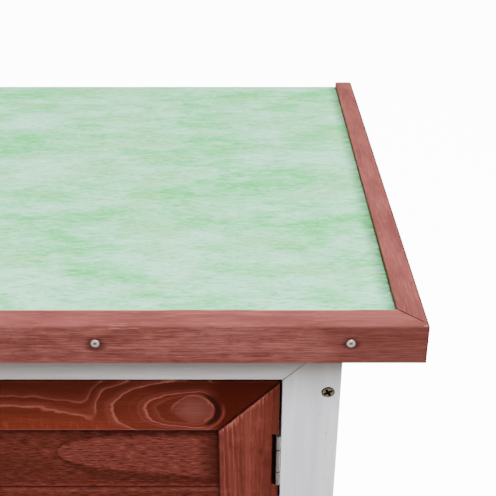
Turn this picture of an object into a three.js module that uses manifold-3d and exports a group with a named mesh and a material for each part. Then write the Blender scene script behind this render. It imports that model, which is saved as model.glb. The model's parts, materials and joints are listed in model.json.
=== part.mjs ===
// Rabbit hutch on four legs: white mitred face frame, red-brown boarded sides, back and doors,
// a lift-up felted roof with a rim round three sides, and a pull-out tray.
// Millimetres, +Z up, the front faces -Y. The origin is on the ground under the middle of the roof.

import * as THREE from 'three';
import { mergeVertices } from 'three/addons/utils/BufferGeometryUtils.js';
import Module from 'manifold-3d';

const wasm = await Module();
wasm.setup();

// Driving dimensions: the roof
const roofWidth = 914;
const roofDepth = 446;
const roofSlope = THREE.MathUtils.degToRad(4);
const topHeight = 640;
const rimThickness = 16;
const rimHeight = 26.3;
const rimRound = 2.2;
const feltInset = 4;
const feltThickness = 1.5;
const roofBoardThickness = 9;
const battenWidth = 44;

// Driving dimensions: the cabinet
const sideOverhang = 44;
const frontOverhang = 30;
const cabinetDepth = 391.5;
const frameWidth = 37.2;
const frameThickness = 18;
const boardThickness = 12;
const boardHeight = 65;
const grooveSize = 2.5;
const bottomRailBase = 150;
const floorThickness = 6;
const dividerThickness = 12;
const fitGap = 0.3;

// Driving dimensions: the doors and their turn-button
const doorGap = 1.5;
const doorStileWidth = 39.8;
const doorRailWidth = 41.5;
const doorOpeningTop = 574.3;
const doorOpeningBase = 274.2;
const doorPanelThickness = 9;
const doorPanelRecess = 6;
const panelTongue = 5;
const meshPitch = 25.4;
const meshWire = 1.4;
const meshMargin = 14;
const buttonLength = 64;
const buttonWidth = 20;
const buttonThickness = 7;
const pivotRadius = 2.1;

// Driving dimensions: the hinges
const doorHinge = { length: 44, radius: 1.4, pin: 0.6, thickness: 1, width: 15, middle: 20 };
const roofHinge = { length: 50, radius: 2.6, pin: 1.2, thickness: 1.2, width: 17, middle: 22 };
const knuckleGap = 0.5;
const pinClearance = 0.1;
const doorHingeInset = 68;
const notchDepth = 2;
const notchRelief = { depth: 4.3, back: 4.5 };
const roofHingeX = 290;

// Driving dimensions: the tray
const trayWall = 2;
const trayHeight = 42;
const trayFrontHeight = 48;
const trayFrontThickness = 15.5;
const trayLength = 352;
const knobLength = 22;
const knobRadius = 12;

// Places worked out from the driving dimensions
const halfRoof = roofWidth / 2;
const halfCabinet = halfRoof - sideOverhang;
const arrisY = -(roofDepth * Math.cos(roofSlope) - rimHeight * Math.sin(roofSlope)) / 2;
const frontY = arrisY + frontOverhang;
const frameBackY = frontY + frameThickness;
const backY = frontY + cabinetDepth;
const stileEdge = halfCabinet - frameWidth;
const frameTop = underside(frameBackY) - fitGap;
const bottomRailTop = bottomRailBase + frameWidth;
const trayOpeningTop = doorOpeningBase - frameWidth;
const floorTop = trayOpeningTop - 2 * doorGap - trayFrontHeight;
const middleStile = frameWidth / 2;
const buttonHeight = (doorOpeningTop + doorOpeningBase) / 2;
const sideInner = halfCabinet - frameThickness;
const arcSteps = 12;

const axisX = new THREE.Vector3(1, 0, 0);
const axisY = new THREE.Vector3(0, 1, 0);
const axisZ = new THREE.Vector3(0, 0, 1);
const backwards = axisX.clone().negate();
const frontwards = axisY.clone().negate();
const downwards = axisZ.clone().negate();

// Height of the roof's underside over a given depth
function underside(y) {
  return topHeight - Math.tan(roofSlope) * (y - arrisY) - rimHeight / Math.cos(roofSlope);
}

// Colours and finishes of the pieces
const finishes = {
  white: { color: 0xcccccd, roughness: 0.55 },
  redBrown: { color: 0x7d3b2d, roughness: 0.45 },
  rose: { color: 0xb57a74, roughness: 0.7 },
  bareWood: { color: 0xd8b98c, roughness: 0.8 },
  felt: { color: 0xbdd9c2, roughness: 0.9 },
  nickel: { color: 0xc9c4ba, roughness: 0.35, metalness: 1 },
  brass: { color: 0xb9a468, roughness: 0.35, metalness: 1 },
  zinc: { color: 0xa9adb0, roughness: 0.4, metalness: 1 },
};

const hutch = new THREE.Group();
const roof = new THREE.Group();
roof.position.set(0, arrisY, topHeight);
roof.rotation.x = -roofSlope;
hutch.add(roof);

function addPiece(name, geometry, finish, parent = hutch) {
  const mesh = new THREE.Mesh(geometry, new THREE.MeshStandardMaterial(finishes[finish]));
  mesh.name = name;
  parent.add(mesh);
  return mesh;
}

// The hole for the turn-button's screw, in the button and in the stile behind it
function pivotHole() {
  return new THREE.Path().absarc(0, buttonHeight, pivotRadius + fitGap, 0, 2 * Math.PI);
}

// A box between two corners
function block(low, high) {
  const size = high.map((value, axis) => value - low[axis]);
  const middle = high.map((value, axis) => (value + low[axis]) / 2);
  return new THREE.BoxGeometry(...size).translate(...middle);
}

function outline(points) {
  return new THREE.Shape(points.map(([a, b]) => new THREE.Vector2(a, b)));
}

// Extrudes a shape and turns it, so that its x, its y and its thickness run along the given axes
function extrude(shape, thickness, shapeX, shapeY, along) {
  const settings = { depth: thickness, bevelEnabled: false, curveSegments: arcSteps };
  const turn = new THREE.Matrix4().makeBasis(shapeX, shapeY, along);
  return new THREE.ExtrudeGeometry(shape, settings).applyMatrix4(turn);
}

// A slab with its outline in Y and Z, between two places on X
function slabAcross(shape, lowX, highX) {
  return extrude(shape, highX - lowX, axisY, axisZ, axisX).translate(lowX, 0, 0);
}

// A slab with its outline in X and Z, between two places on Y
function slabUpright(shape, lowY, highY) {
  return extrude(shape, highY - lowY, axisX, axisZ, frontwards).translate(0, highY, 0);
}

// A straight member with the given section, from its outer edge inwards and from its face backwards.
// It starts at a corner and runs along a direction. A mitre moves an end in across the width.
function member(section, length, start, direction, faceInwards, mitreStart = 0, mitreEnd = 0) {
  const geometry = extrude(section, length, downwards, axisY, axisX);
  const places = geometry.attributes.position;
  for (let i = 0; i < places.count; i += 1) {
    const across = -places.getZ(i);
    const atStart = places.getX(i) < length / 2;
    const cut = (atStart ? mitreStart : mitreEnd) * across;
    const gap = (atStart ? mitreStart : mitreEnd) ? fitGap * Math.SQRT1_2 : 0;
    places.setX(i, places.getX(i) + (atStart ? cut + gap : -cut - gap));
  }
  const outwards = direction.clone().cross(faceInwards);
  const turn = new THREE.Matrix4().makeBasis(direction, faceInwards, outwards);
  return geometry.applyMatrix4(turn.setPosition(...start));
}

function plainSection(width, thickness) {
  return outline([[0, 0], [width, 0], [width, thickness], [0, thickness]]);
}

// Horizontal boards of one height, counted from the top, with a V-groove at each joint, as one section
function boardSection(height, thickness) {
  const face = [[0, 0]];
  for (let joint = boardHeight; joint < height - boardHeight / 4; joint += boardHeight) {
    face.push([joint - grooveSize, 0], [joint, grooveSize], [joint + grooveSize, 0]);
  }
  return outline([...face, [height, 0], [height, thickness], [0, thickness]]);
}

// Manifold solids for the pieces that are cut or joined
function toSolid(source) {
  const bare = source.clone();
  bare.deleteAttribute('normal');
  bare.deleteAttribute('uv');
  const merged = mergeVertices(bare, 1e-4);
  const vertProperties = new Float32Array(merged.attributes.position.array);
  const triVerts = new Uint32Array(merged.index.array);
  return new wasm.Manifold(new wasm.Mesh({ numProp: 3, vertProperties, triVerts }));
}

function fromSolid(solid) {
  const mesh = solid.getMesh();
  const geometry = new THREE.BufferGeometry();
  geometry.setAttribute('position', new THREE.BufferAttribute(mesh.vertProperties, 3));
  geometry.setIndex(new THREE.BufferAttribute(mesh.triVerts, 1));
  geometry.computeVertexNormals();
  return geometry;
}

function upright(radius, lowZ, highZ) {
  const cylinder = new THREE.CylinderGeometry(radius, radius, highZ - lowZ, 20);
  return cylinder.rotateX(Math.PI / 2).translate(0, 0, (lowZ + highZ) / 2);
}

// One leaf of a butt hinge. The pin's axis is Z, and the plate runs along +Y on the -X side.
// The pin is fast in the leaf that has the two end knuckles.
function hingeLeaf(size, endKnuckles) {
  const half = size.length / 2;
  const middle = size.middle / 2;
  const clear = size.radius + 2 * knuckleGap;
  const ends = [[-half, -middle - knuckleGap], [middle + knuckleGap, half]];
  const knuckles = endKnuckles ? ends : [[-middle, middle]];
  const plateEdge = -size.radius + size.thickness;
  let leaf = toSolid(block([-size.radius, clear, -half], [plateEdge, size.width, half]));
  for (const [low, high] of knuckles) {
    leaf = leaf.add(toSolid(block([-size.radius, 0, low], [plateEdge, clear + fitGap, high])));
    leaf = leaf.add(toSolid(upright(size.radius, low, high)));
  }
  if (endKnuckles) {
    leaf = leaf.add(toSolid(upright(size.pin, -half, half)));
  } else {
    leaf = leaf.subtract(toSolid(upright(size.pin + pinClearance, -half, half)));
  }
  return fromSolid(leaf);
}

function placeLeaf(name, size, endKnuckles, pin, plateAlong, plateSide, parent = hutch) {
  const basis = [plateSide.clone().negate(), plateAlong, plateAlong.clone().cross(plateSide)];
  const turn = new THREE.Matrix4().makeBasis(...basis).setPosition(...pin);
  addPiece(name, hingeLeaf(size, endKnuckles).applyMatrix4(turn), 'nickel', parent);
}

// Front frame: the stiles are the front legs, and the top rail is mitred between them
{
  const railWidth = frameTop - doorOpeningTop;
  const stile = plainSection(frameWidth, frameThickness);
  const rail = plainSection(railWidth, frameThickness);
  const mitre = frameWidth / railWidth;
  const topRight = [halfCabinet, frontY, frameTop];
  const topLeft = [-halfCabinet, frontY, frameTop];
  const bottomLeft = [-halfCabinet, frontY, 0];
  const rightStile = member(stile, frameTop, topRight, downwards, axisY, 1 / mitre);
  const leftStile = member(stile, frameTop, bottomLeft, axisZ, axisY, 0, 1 / mitre);
  const topRail = member(rail, 2 * halfCabinet, topLeft, axisX, axisY, mitre, mitre);
  addPiece('front_stile_right', rightStile, 'white');
  addPiece('front_stile_left', leftStile, 'white');
  addPiece('front_top_rail', topRail, 'white');

  const railEnd = stileEdge - fitGap;
  const rails = [
    ['front_middle_rail', trayOpeningTop, doorOpeningBase],
    ['front_bottom_rail', bottomRailBase, floorTop],
  ];
  for (const [name, low, high] of rails) {
    addPiece(name, block([-railEnd, frontY, low], [railEnd, frameBackY, high]), 'white');
  }
  const base = doorOpeningBase + fitGap;
  const top = doorOpeningTop - fitGap;
  const sides = [[-middleStile, base], [middleStile, base], [middleStile, top], [-middleStile, top]];
  const shape = outline(sides);
  shape.holes.push(pivotHole());
  addPiece('front_middle_stile', slabUpright(shape, frontY, frameBackY), 'white');
}

// Side frames: two posts, a top rail under the roof's slope, a bottom rail, and boards between them
for (const [side, sign] of [['right', 1], ['left', -1]]) {
  const [lowX, highX] = sign > 0 ? [sideInner, halfCabinet] : [-halfCabinet, -sideInner];
  const top = (y) => underside(y) - fitGap;
  const frontPost = [frameBackY + fitGap, frameBackY + fitGap + frameWidth];
  const backPost = [backY - frameWidth, backY];
  const posts = [[`${side}_front_post`, frontPost], [`${side}_back_post`, backPost]];
  for (const [name, [front, back]] of posts) {
    const shape = outline([[front, 0], [back, 0], [back, top(back)], [front, top(front)]]);
    addPiece(name, slabAcross(shape, lowX, highX), 'white');
  }
  const start = frontPost[1] + fitGap;
  const end = backPost[0] - fitGap;
  const lower = (y) => top(y) - frameWidth;
  const railShape = outline([[start, lower(start)], [end, lower(end)], [end, top(end)], [start, top(start)]]);
  const bottomRail = block([lowX, start, bottomRailBase], [highX, end, bottomRailTop]);
  addPiece(`${side}_top_rail`, slabAcross(railShape, lowX, highX), 'white');
  addPiece(`${side}_bottom_rail`, bottomRail, 'white');

  // The boards' top edge is cut to the slope, so its far end drops
  const panelBase = bottomRailTop + fitGap;
  const panelTop = lower(start) - fitGap;
  const section = boardSection(panelTop - panelBase, boardThickness);
  const faceX = sign * (halfCabinet - (frameThickness - boardThickness) / 2);
  const corner = [faceX, sign > 0 ? start : end, panelTop];
  const run = sign > 0 ? axisY : frontwards;
  const inwards = sign > 0 ? backwards : axisX;
  const boards = member(section, end - start, corner, run, inwards);
  const places = boards.attributes.position;
  for (let i = 0; i < places.count; i += 1) {
    if (places.getZ(i) > panelTop - 1) {
      places.setZ(i, panelTop - Math.tan(roofSlope) * (places.getY(i) - start));
    }
  }
  addPiece(`${side}_side_boards`, boards, 'redBrown');
}

// Back: two rails and the boards between the back posts
{
  const end = sideInner - fitGap;
  const front = backY - frameThickness;
  const top = underside(backY) - fitGap;
  const base = top - frameWidth;
  const panelBase = bottomRailTop + fitGap;
  const panelTop = base - fitGap;
  const section = boardSection(panelTop - panelBase, boardThickness);
  const corner = [end, backY - (frameThickness - boardThickness) / 2, panelTop];
  const bottomRail = block([-end, front, bottomRailBase], [end, backY, bottomRailTop]);
  addPiece('back_top_rail', block([-end, front, base], [end, backY, top]), 'white');
  addPiece('back_bottom_rail', bottomRail, 'white');
  addPiece('back_boards', member(section, 2 * end, corner, backwards, frontwards), 'redBrown');
}

// Inside: the floor, the tray's runners, and the divider with its arched doorway
{
  const front = frameBackY + fitGap;
  const back = backY - frameThickness - fitGap;
  const end = sideInner - fitGap;
  const floor = block([-end, front, floorTop - floorThickness], [end, back, floorTop]);
  addPiece('floor_board', floor, 'bareWood');

  const runnerBase = floorTop + fitGap;
  for (const [side, sign] of [['right', 1], ['left', -1]]) {
    const reach = [sign * (stileEdge - doorGap / 2), sign * end].sort((a, b) => a - b);
    const low = [reach[0], front, runnerBase];
    const high = [reach[1], back, runnerBase + trayHeight];
    addPiece(`tray_runner_${side}`, block(low, high), 'bareWood');
  }

  const base = trayOpeningTop + fitGap;
  const top = (y) => underside(y) - 2 * fitGap;
  const shape = outline([[front, base], [back, base], [back, top(back)], [front, top(front)]]);
  const doorway = new THREE.Path();
  const archRadius = 75;
  const doorwayY = 60;
  const sill = base + 25;
  const spring = sill + 110;
  doorway.moveTo(doorwayY - archRadius, sill);
  doorway.lineTo(doorwayY + archRadius, sill);
  doorway.lineTo(doorwayY + archRadius, spring);
  doorway.absarc(doorwayY, spring, archRadius, 0, Math.PI, false);
  shape.holes.push(doorway);
  const half = dividerThickness / 2;
  addPiece('divider', slabAcross(shape, -half, half), 'bareWood');
}

// Doors: a mitred frame round a boarded panel on the right, and round wire mesh on the left
for (const [side, sign] of [['right', 1], ['left', -1]]) {
  const solidDoor = side === 'right';
  const low = sign > 0 ? middleStile + doorGap : -stileEdge + doorGap;
  const high = sign > 0 ? stileEdge - doorGap : -middleStile - doorGap;
  const base = doorOpeningBase + doorGap;
  const top = doorOpeningTop - doorGap;
  const grooveFront = doorPanelRecess - fitGap;
  const grooveBack = doorPanelRecess + doorPanelThickness + fitGap;
  const grooveDepth = panelTongue + fitGap;
  const sectionOf = (width) => (solidDoor ? outline([
    [0, 0], [width, 0], [width, grooveFront], [width - grooveDepth, grooveFront],
    [width - grooveDepth, grooveBack], [width, grooveBack], [width, frameThickness],
    [0, frameThickness],
  ]) : plainSection(width, frameThickness));
  const mitre = doorStileWidth / doorRailWidth;
  const rail = sectionOf(doorRailWidth);
  const stile = sectionOf(doorStileWidth);
  const pieces = [
    ['top_rail', rail, high - low, [low, frontY, top], axisX, mitre],
    ['right_stile', stile, top - base, [high, frontY, top], downwards, 1 / mitre],
    ['bottom_rail', rail, high - low, [high, frontY, base], backwards, mitre],
    ['left_stile', stile, top - base, [low, frontY, base], axisZ, 1 / mitre],
  ];
  const hingeHeights = [top - doorHingeInset - fitGap, base + doorHingeInset];
  const edge = sign > 0 ? high : low;
  for (const [name, section, length, corner, direction, cut] of pieces) {
    let geometry = member(section, length, corner, direction, axisY, cut, cut);
    if (name === `${side}_stile`) {
      // The notches that the hinges lie in, cut deeper in front round the knuckles
      let solid = toSolid(geometry);
      for (const height of hingeHeights) {
        const half = doorHinge.length / 2 + 2 * knuckleGap;
        const cuts = [
          [notchDepth, frameBackY + 1],
          [notchRelief.depth, frontY + notchRelief.back],
        ];
        for (const [depth, back] of cuts) {
          const reach = [edge - sign * depth, edge + sign].sort((a, b) => a - b);
          const from = [reach[0], frontY - 1, height - half];
          const to = [reach[1], back, height + half];
          solid = solid.subtract(toSolid(block(from, to)));
        }
      }
      geometry = fromSolid(solid);
    }
    addPiece(`${side}_door_${name}`, geometry, 'redBrown');
  }

  const pinX = sign * (stileEdge - doorHinge.radius - fitGap);
  const outwards = sign > 0 ? axisX : backwards;
  hingeHeights.forEach((height, index) => {
    const label = `${side}_door_hinge_${index ? 'lower' : 'upper'}`;
    const pin = [pinX, frontY, height];
    placeLeaf(`${label}_frame_leaf`, doorHinge, true, pin, axisY, outwards);
    placeLeaf(`${label}_door_leaf`, doorHinge, false, pin, axisY, outwards.clone().negate());
  });

  if (solidDoor) {
    const reach = (width) => width - panelTongue;
    const height = top - base - 2 * reach(doorRailWidth);
    const corner = [low + reach(doorStileWidth), frontY + doorPanelRecess, top - reach(doorRailWidth)];
    const width = high - low - 2 * reach(doorStileWidth);
    const panel = member(boardSection(height, doorPanelThickness), width, corner, axisX, axisY);
    addPiece('right_door_panel', panel, 'redBrown');
  } else {
    const meshBack = frameBackY + fitGap + meshWire;
    const [left, right] = [low + meshMargin, high - meshMargin];
    const [bottom, upper] = [base + meshMargin, top - meshMargin];
    const columns = Math.floor((right - left) / meshPitch);
    const rows = Math.floor((upper - bottom) / meshPitch);
    const half = meshWire / 2;
    let wires = null;
    const addWire = (fromX, toX, fromZ, toZ) => {
      const wire = toSolid(block([fromX, meshBack - meshWire, fromZ], [toX, meshBack, toZ]));
      wires = wires ? wires.add(wire) : wire;
    };
    for (let column = 0; column <= columns; column += 1) {
      const x = (left + right) / 2 + (column - columns / 2) * meshPitch;
      addWire(x - half, x + half, bottom, upper);
    }
    for (let row = 0; row <= rows; row += 1) {
      const z = (bottom + upper) / 2 + (row - rows / 2) * meshPitch;
      addWire(left, right, z - half, z + half);
    }
    addPiece('left_door_mesh', fromSolid(wires), 'zinc');
  }
}

// Turn-button on the middle stile, standing upright when it is off both doors, and its pivot screw
{
  const back = frontY - 2 * fitGap;
  const front = back - buttonThickness;
  const reach = (buttonLength - buttonWidth) / 2;
  const shape = new THREE.Shape();
  shape.absarc(0, buttonHeight + reach, buttonWidth / 2, 0, Math.PI, false);
  shape.absarc(0, buttonHeight - reach, buttonWidth / 2, Math.PI, 2 * Math.PI, false);
  shape.holes.push(pivotHole());
  addPiece('turn_button', slabUpright(shape, front, back), 'redBrown');

  const headRadius = 4.2;
  const headHeight = 2.4;
  const shankLength = buttonThickness + 14;
  const profile = [
    [0, 0], [headRadius * 0.6, 0.2], [headRadius, headHeight - 0.8], [headRadius, headHeight],
    [pivotRadius, headHeight], [pivotRadius, headHeight + shankLength], [0, headHeight + shankLength],
  ];
  const screw = new THREE.LatheGeometry(profile.map(([r, y]) => new THREE.Vector2(r, y)), 20);
  screw.translate(0, front - fitGap - headHeight, buttonHeight);
  addPiece('turn_button_screw', screw, 'brass');
}

// Tray: a sheet-metal pan behind a wooden front with a knob
{
  const front = frontY + trayFrontThickness;
  const low = [-stileEdge + 2 * doorGap, front + fitGap, floorTop + fitGap];
  const high = [stileEdge - 2 * doorGap, front + fitGap + trayLength, floorTop + fitGap + trayHeight];
  const innerLow = low.map((value) => value + trayWall);
  const innerHigh = [high[0] - trayWall, high[1] - trayWall, high[2] + trayWall];
  const pan = toSolid(block(low, high)).subtract(toSolid(block(innerLow, innerHigh)));
  addPiece('tray_pan', fromSolid(pan), 'zinc');

  const frontLow = [-stileEdge + doorGap, frontY, floorTop + doorGap];
  const frontHigh = [stileEdge - doorGap, front, trayOpeningTop - doorGap];
  addPiece('tray_front', block(frontLow, frontHigh), 'redBrown');

  const profile = [
    [0, 0], [knobRadius * 0.6, 0.8], [knobRadius * 0.93, 3.5], [knobRadius, 7], [knobRadius * 0.9, 11],
    [knobRadius * 0.6, 15], [knobRadius * 0.52, 18.5], [knobRadius * 0.7, knobLength], [0, knobLength],
  ];
  const knob = new THREE.LatheGeometry(profile.map(([r, y]) => new THREE.Vector2(r, y)), 28);
  knob.translate(0, frontY - fitGap - knobLength, (frontLow[2] + frontHigh[2]) / 2);
  addPiece('tray_knob', knob, 'bareWood');
}

// Roof: in its own group, Y runs back down the slope and Z stands square to the sheet, from the rim's top
{
  const boardTop = -feltInset - feltThickness - fitGap;
  const battenTop = boardTop - roofBoardThickness - fitGap;
  const start = rimThickness + fitGap;
  const end = roofDepth - feltThickness - fitGap;
  const reach = halfRoof - rimThickness - fitGap;

  const rimShape = new THREE.Shape();
  rimShape.moveTo(rimRound, 0);
  rimShape.lineTo(rimThickness, 0);
  rimShape.lineTo(rimThickness, rimHeight);
  rimShape.lineTo(0, rimHeight);
  rimShape.lineTo(0, rimRound);
  rimShape.absarc(rimRound, rimRound, rimRound, Math.PI, 1.5 * Math.PI, false);
  const rightFront = [halfRoof, 0, 0];
  const leftFront = [-halfRoof, 0, 0];
  const rightBack = [halfRoof, roofDepth, 0];
  const rims = [
    ['roof_rim_front', member(rimShape, roofWidth, rightFront, backwards, downwards, 1, 1)],
    ['roof_rim_left', member(rimShape, roofDepth, leftFront, axisY, downwards, 1, 0)],
    ['roof_rim_right', member(rimShape, roofDepth, rightBack, frontwards, downwards, 0, 1)],
  ];
  for (const [name, geometry] of rims) {
    addPiece(name, geometry, 'rose', roof);
  }

  const board = block([-reach, start, boardTop - roofBoardThickness], [reach, end, boardTop]);
  addPiece('roof_board', board, 'bareWood', roof);

  const inner = sideInner - 4;
  const battens = [
    ['roof_batten_front', -reach, reach, start, start + battenWidth],
    ['roof_batten_back', -reach, reach, end - battenWidth, end],
    ['roof_batten_right', inner, reach, start + battenWidth + fitGap, end - battenWidth - fitGap],
    ['roof_batten_left', -reach, -inner, start + battenWidth + fitGap, end - battenWidth - fitGap],
    ['roof_batten_middle', -22, 22, start + battenWidth + fitGap, end - battenWidth - fitGap],
  ];
  for (const [name, lowX, highX, front, back] of battens) {
    addPiece(name, block([lowX, front, -rimHeight], [highX, back, battenTop]), 'bareWood', roof);
  }

  // The felt lies on the board and turns down over its back edge
  const feltTop = -feltInset;
  const turnRadius = 3;
  const felt = new THREE.Shape();
  felt.moveTo(start, feltTop - feltThickness);
  felt.lineTo(roofDepth - feltThickness, feltTop - feltThickness);
  felt.lineTo(roofDepth - feltThickness, -rimHeight);
  felt.lineTo(roofDepth, -rimHeight);
  felt.lineTo(roofDepth, feltTop - turnRadius);
  felt.absarc(roofDepth - turnRadius, feltTop - turnRadius, turnRadius, 0, Math.PI / 2, false);
  felt.lineTo(start, feltTop);
  addPiece('roof_felt', slabAcross(felt, -reach, reach), 'felt', roof);
}

// Roof hinges: one leaf on the back rail, the other under the roof's back batten
{
  const standOff = roofHinge.radius + fitGap;
  const pinY = backY + standOff;
  const pinZ = underside(pinY) - standOff / Math.cos(roofSlope);
  const alongRoof = axisY.clone().applyAxisAngle(axisX, -roofSlope);
  const upFromRoof = axisZ.clone().applyAxisAngle(axisX, -roofSlope);
  for (const [side, sign] of [['right', 1], ['left', -1]]) {
    const pin = [sign * roofHingeX, pinY, pinZ];
    placeLeaf(`roof_hinge_${side}_rail_leaf`, roofHinge, true, pin, downwards, frontwards);
    placeLeaf(`roof_hinge_${side}_roof_leaf`, roofHinge, false, pin, alongRoof, upFromRoof);
  }
}

export default hutch;
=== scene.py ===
import json
from math import cos, pi, radians, sin, tan
from random import Random

import bmesh
import bpy
from mathutils import Matrix, Vector


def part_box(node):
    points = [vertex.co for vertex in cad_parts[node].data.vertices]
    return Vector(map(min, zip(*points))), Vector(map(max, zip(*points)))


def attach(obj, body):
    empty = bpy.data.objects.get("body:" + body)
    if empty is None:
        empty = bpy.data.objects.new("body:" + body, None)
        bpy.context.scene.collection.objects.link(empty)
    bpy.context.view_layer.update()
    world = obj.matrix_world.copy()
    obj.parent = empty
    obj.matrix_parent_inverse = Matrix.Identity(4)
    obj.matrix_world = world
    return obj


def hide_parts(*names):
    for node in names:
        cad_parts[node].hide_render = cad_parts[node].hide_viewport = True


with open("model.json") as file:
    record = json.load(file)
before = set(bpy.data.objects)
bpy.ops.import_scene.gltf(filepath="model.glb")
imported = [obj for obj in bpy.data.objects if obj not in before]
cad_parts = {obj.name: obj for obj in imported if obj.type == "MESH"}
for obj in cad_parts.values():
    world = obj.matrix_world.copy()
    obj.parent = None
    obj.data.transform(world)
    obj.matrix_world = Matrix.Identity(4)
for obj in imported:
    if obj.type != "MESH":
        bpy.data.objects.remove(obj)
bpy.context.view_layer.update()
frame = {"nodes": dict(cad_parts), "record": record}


# ---------------------------------------------------------------------------------------------
# The studio: a plain pale floor and wall, a broad soft light above the front, a weaker one above
# the back and an even white sky. The camera looks down at the roof's right front corner.

CORNER = Vector((0.457, -0.2215, 0.640))
CAMERA_FROM_CORNER = Vector((-0.103, -0.413, 0.308))
LOOKING_DOWN = radians(31.9)

camera_data = bpy.data.cameras.new("camera")
camera_data.lens = 66.05
camera_data.sensor_width = 36.0
camera = bpy.data.objects.new("camera", camera_data)
camera.location = CORNER + CAMERA_FROM_CORNER
camera.rotation_euler = (pi / 2 - LOOKING_DOWN, 0.0, 0.0)
bpy.context.collection.objects.link(camera)
bpy.context.scene.camera = camera


def soft_light(name, place, target, size, power):
    """A round light at a place, turned towards its target. It is as broad as its size."""
    data = bpy.data.lights.new(name, "AREA")
    data.shape = "DISK"
    data.size = size
    data.energy = power
    lamp = bpy.data.objects.new(name, data)
    lamp.location = place
    lamp.rotation_euler = (Vector(target) - Vector(place)).to_track_quat("-Z", "Y").to_euler()
    bpy.context.collection.objects.link(lamp)


soft_light("key_light", place=(0.75, -1.95, 2.95), target=(0.1, -0.1, 0.5), size=1.4, power=182.0)
soft_light("top_light", place=(0.6, 1.0, 3.0), target=(0.1, 0.0, 0.5), size=1.4, power=62.0)
soft_light("side_light", place=(-2.6, 0.9, 1.3), target=(0.0, 0.0, 0.3), size=1.8, power=40.0)

WHITE = (1.0, 1.0, 1.0, 1.0)
SKY_STRENGTH = 0.30
world = bpy.data.worlds.new("sky")
world.use_nodes = True
world.node_tree.nodes["Background"].inputs["Color"].default_value = WHITE
world.node_tree.nodes["Background"].inputs["Strength"].default_value = SKY_STRENGTH
bpy.context.scene.world = world

STUDIO_REACH = 25.0
WALL_RADIUS = STUDIO_REACH * 0.98
SHEET_GLOW = 12.0
white_sheet = bpy.data.materials.new("white_sheet")
white_sheet.use_nodes = True
sheet_shader = white_sheet.node_tree.nodes["Principled BSDF"]
sheet_shader.inputs["Base Color"].default_value = (0.93, 0.93, 0.93, 1.0)
sheet_shader.inputs["Roughness"].default_value = 0.9
sheet_shader.inputs["Emission Color"].default_value = WHITE
sheet_shader.inputs["Emission Strength"].default_value = SHEET_GLOW


def studio_sheet(name, shape):
    """A glowing white sheet that neither lights the hutch nor shows in its gloss."""
    mesh = bpy.data.meshes.new(name)
    shape.to_mesh(mesh)
    shape.free()
    mesh.materials.append(white_sheet)
    sheet = bpy.data.objects.new(name, mesh)
    sheet.visible_diffuse = False
    sheet.visible_glossy = False
    bpy.context.collection.objects.link(sheet)
    return sheet


floor_shape = bmesh.new()
bmesh.ops.create_grid(floor_shape, x_segments=1, y_segments=1, size=STUDIO_REACH)
studio_sheet("studio_floor", floor_shape)
wall_shape = bmesh.new()
bmesh.ops.create_cone(
    wall_shape, cap_ends=False, segments=48, radius1=WALL_RADIUS, radius2=WALL_RADIUS,
    depth=STUDIO_REACH, matrix=Matrix.Translation((0, 0, STUDIO_REACH / 2)),
)
studio_sheet("studio_wall", wall_shape).visible_shadow = False


# ---------------------------------------------------------------------------------------------
# Roof carcass: a plywood board on five sawn pine battens, bare wood, seen from below and when
# the lid is up. Each is the solid's own shape with its arrises rubbed down.

ROOF_SLOPE = radians(4)
BODY_OF = {
    node: body
    for body, nodes in frame["record"]["behaviour"]["bodies"].items()
    for node in nodes
}


class Field:
    """A value that varies over a surface. Sums on it add Math nodes to its material."""

    def __init__(self, socket):
        self.socket = socket

    def math(self, operation, other=None, swapped=False):
        node = self.socket.id_data.nodes.new("ShaderNodeMath")
        node.operation = operation
        values = [self] if other is None else ([other, self] if swapped else [self, other])
        for socket, value in zip(node.inputs, values):
            join(socket, value)
        return Field(node.outputs[0])

    def __add__(self, other):
        return self.math("ADD", other)

    def __sub__(self, other):
        return self.math("SUBTRACT", other)

    def __rsub__(self, other):
        return self.math("SUBTRACT", other, swapped=True)

    def __mul__(self, other):
        return self.math("MULTIPLY", other)

    def __truediv__(self, other):
        return self.math("DIVIDE", other)

    def __abs__(self):
        return self.math("ABSOLUTE")

    __radd__ = __add__
    __rmul__ = __mul__


def join(socket, value):
    """Links a field to a socket, or sets a plain value on it."""
    if isinstance(value, Field):
        socket.id_data.links.new(value.socket, socket)
    else:
        socket.default_value = value


def tint(red, green, blue):
    """A colour given in ordinary screen values, as the shader's linear ones."""
    linear = [(value / 255) ** 2.2 for value in (red, green, blue)]
    return (*linear, 1.0)


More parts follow.
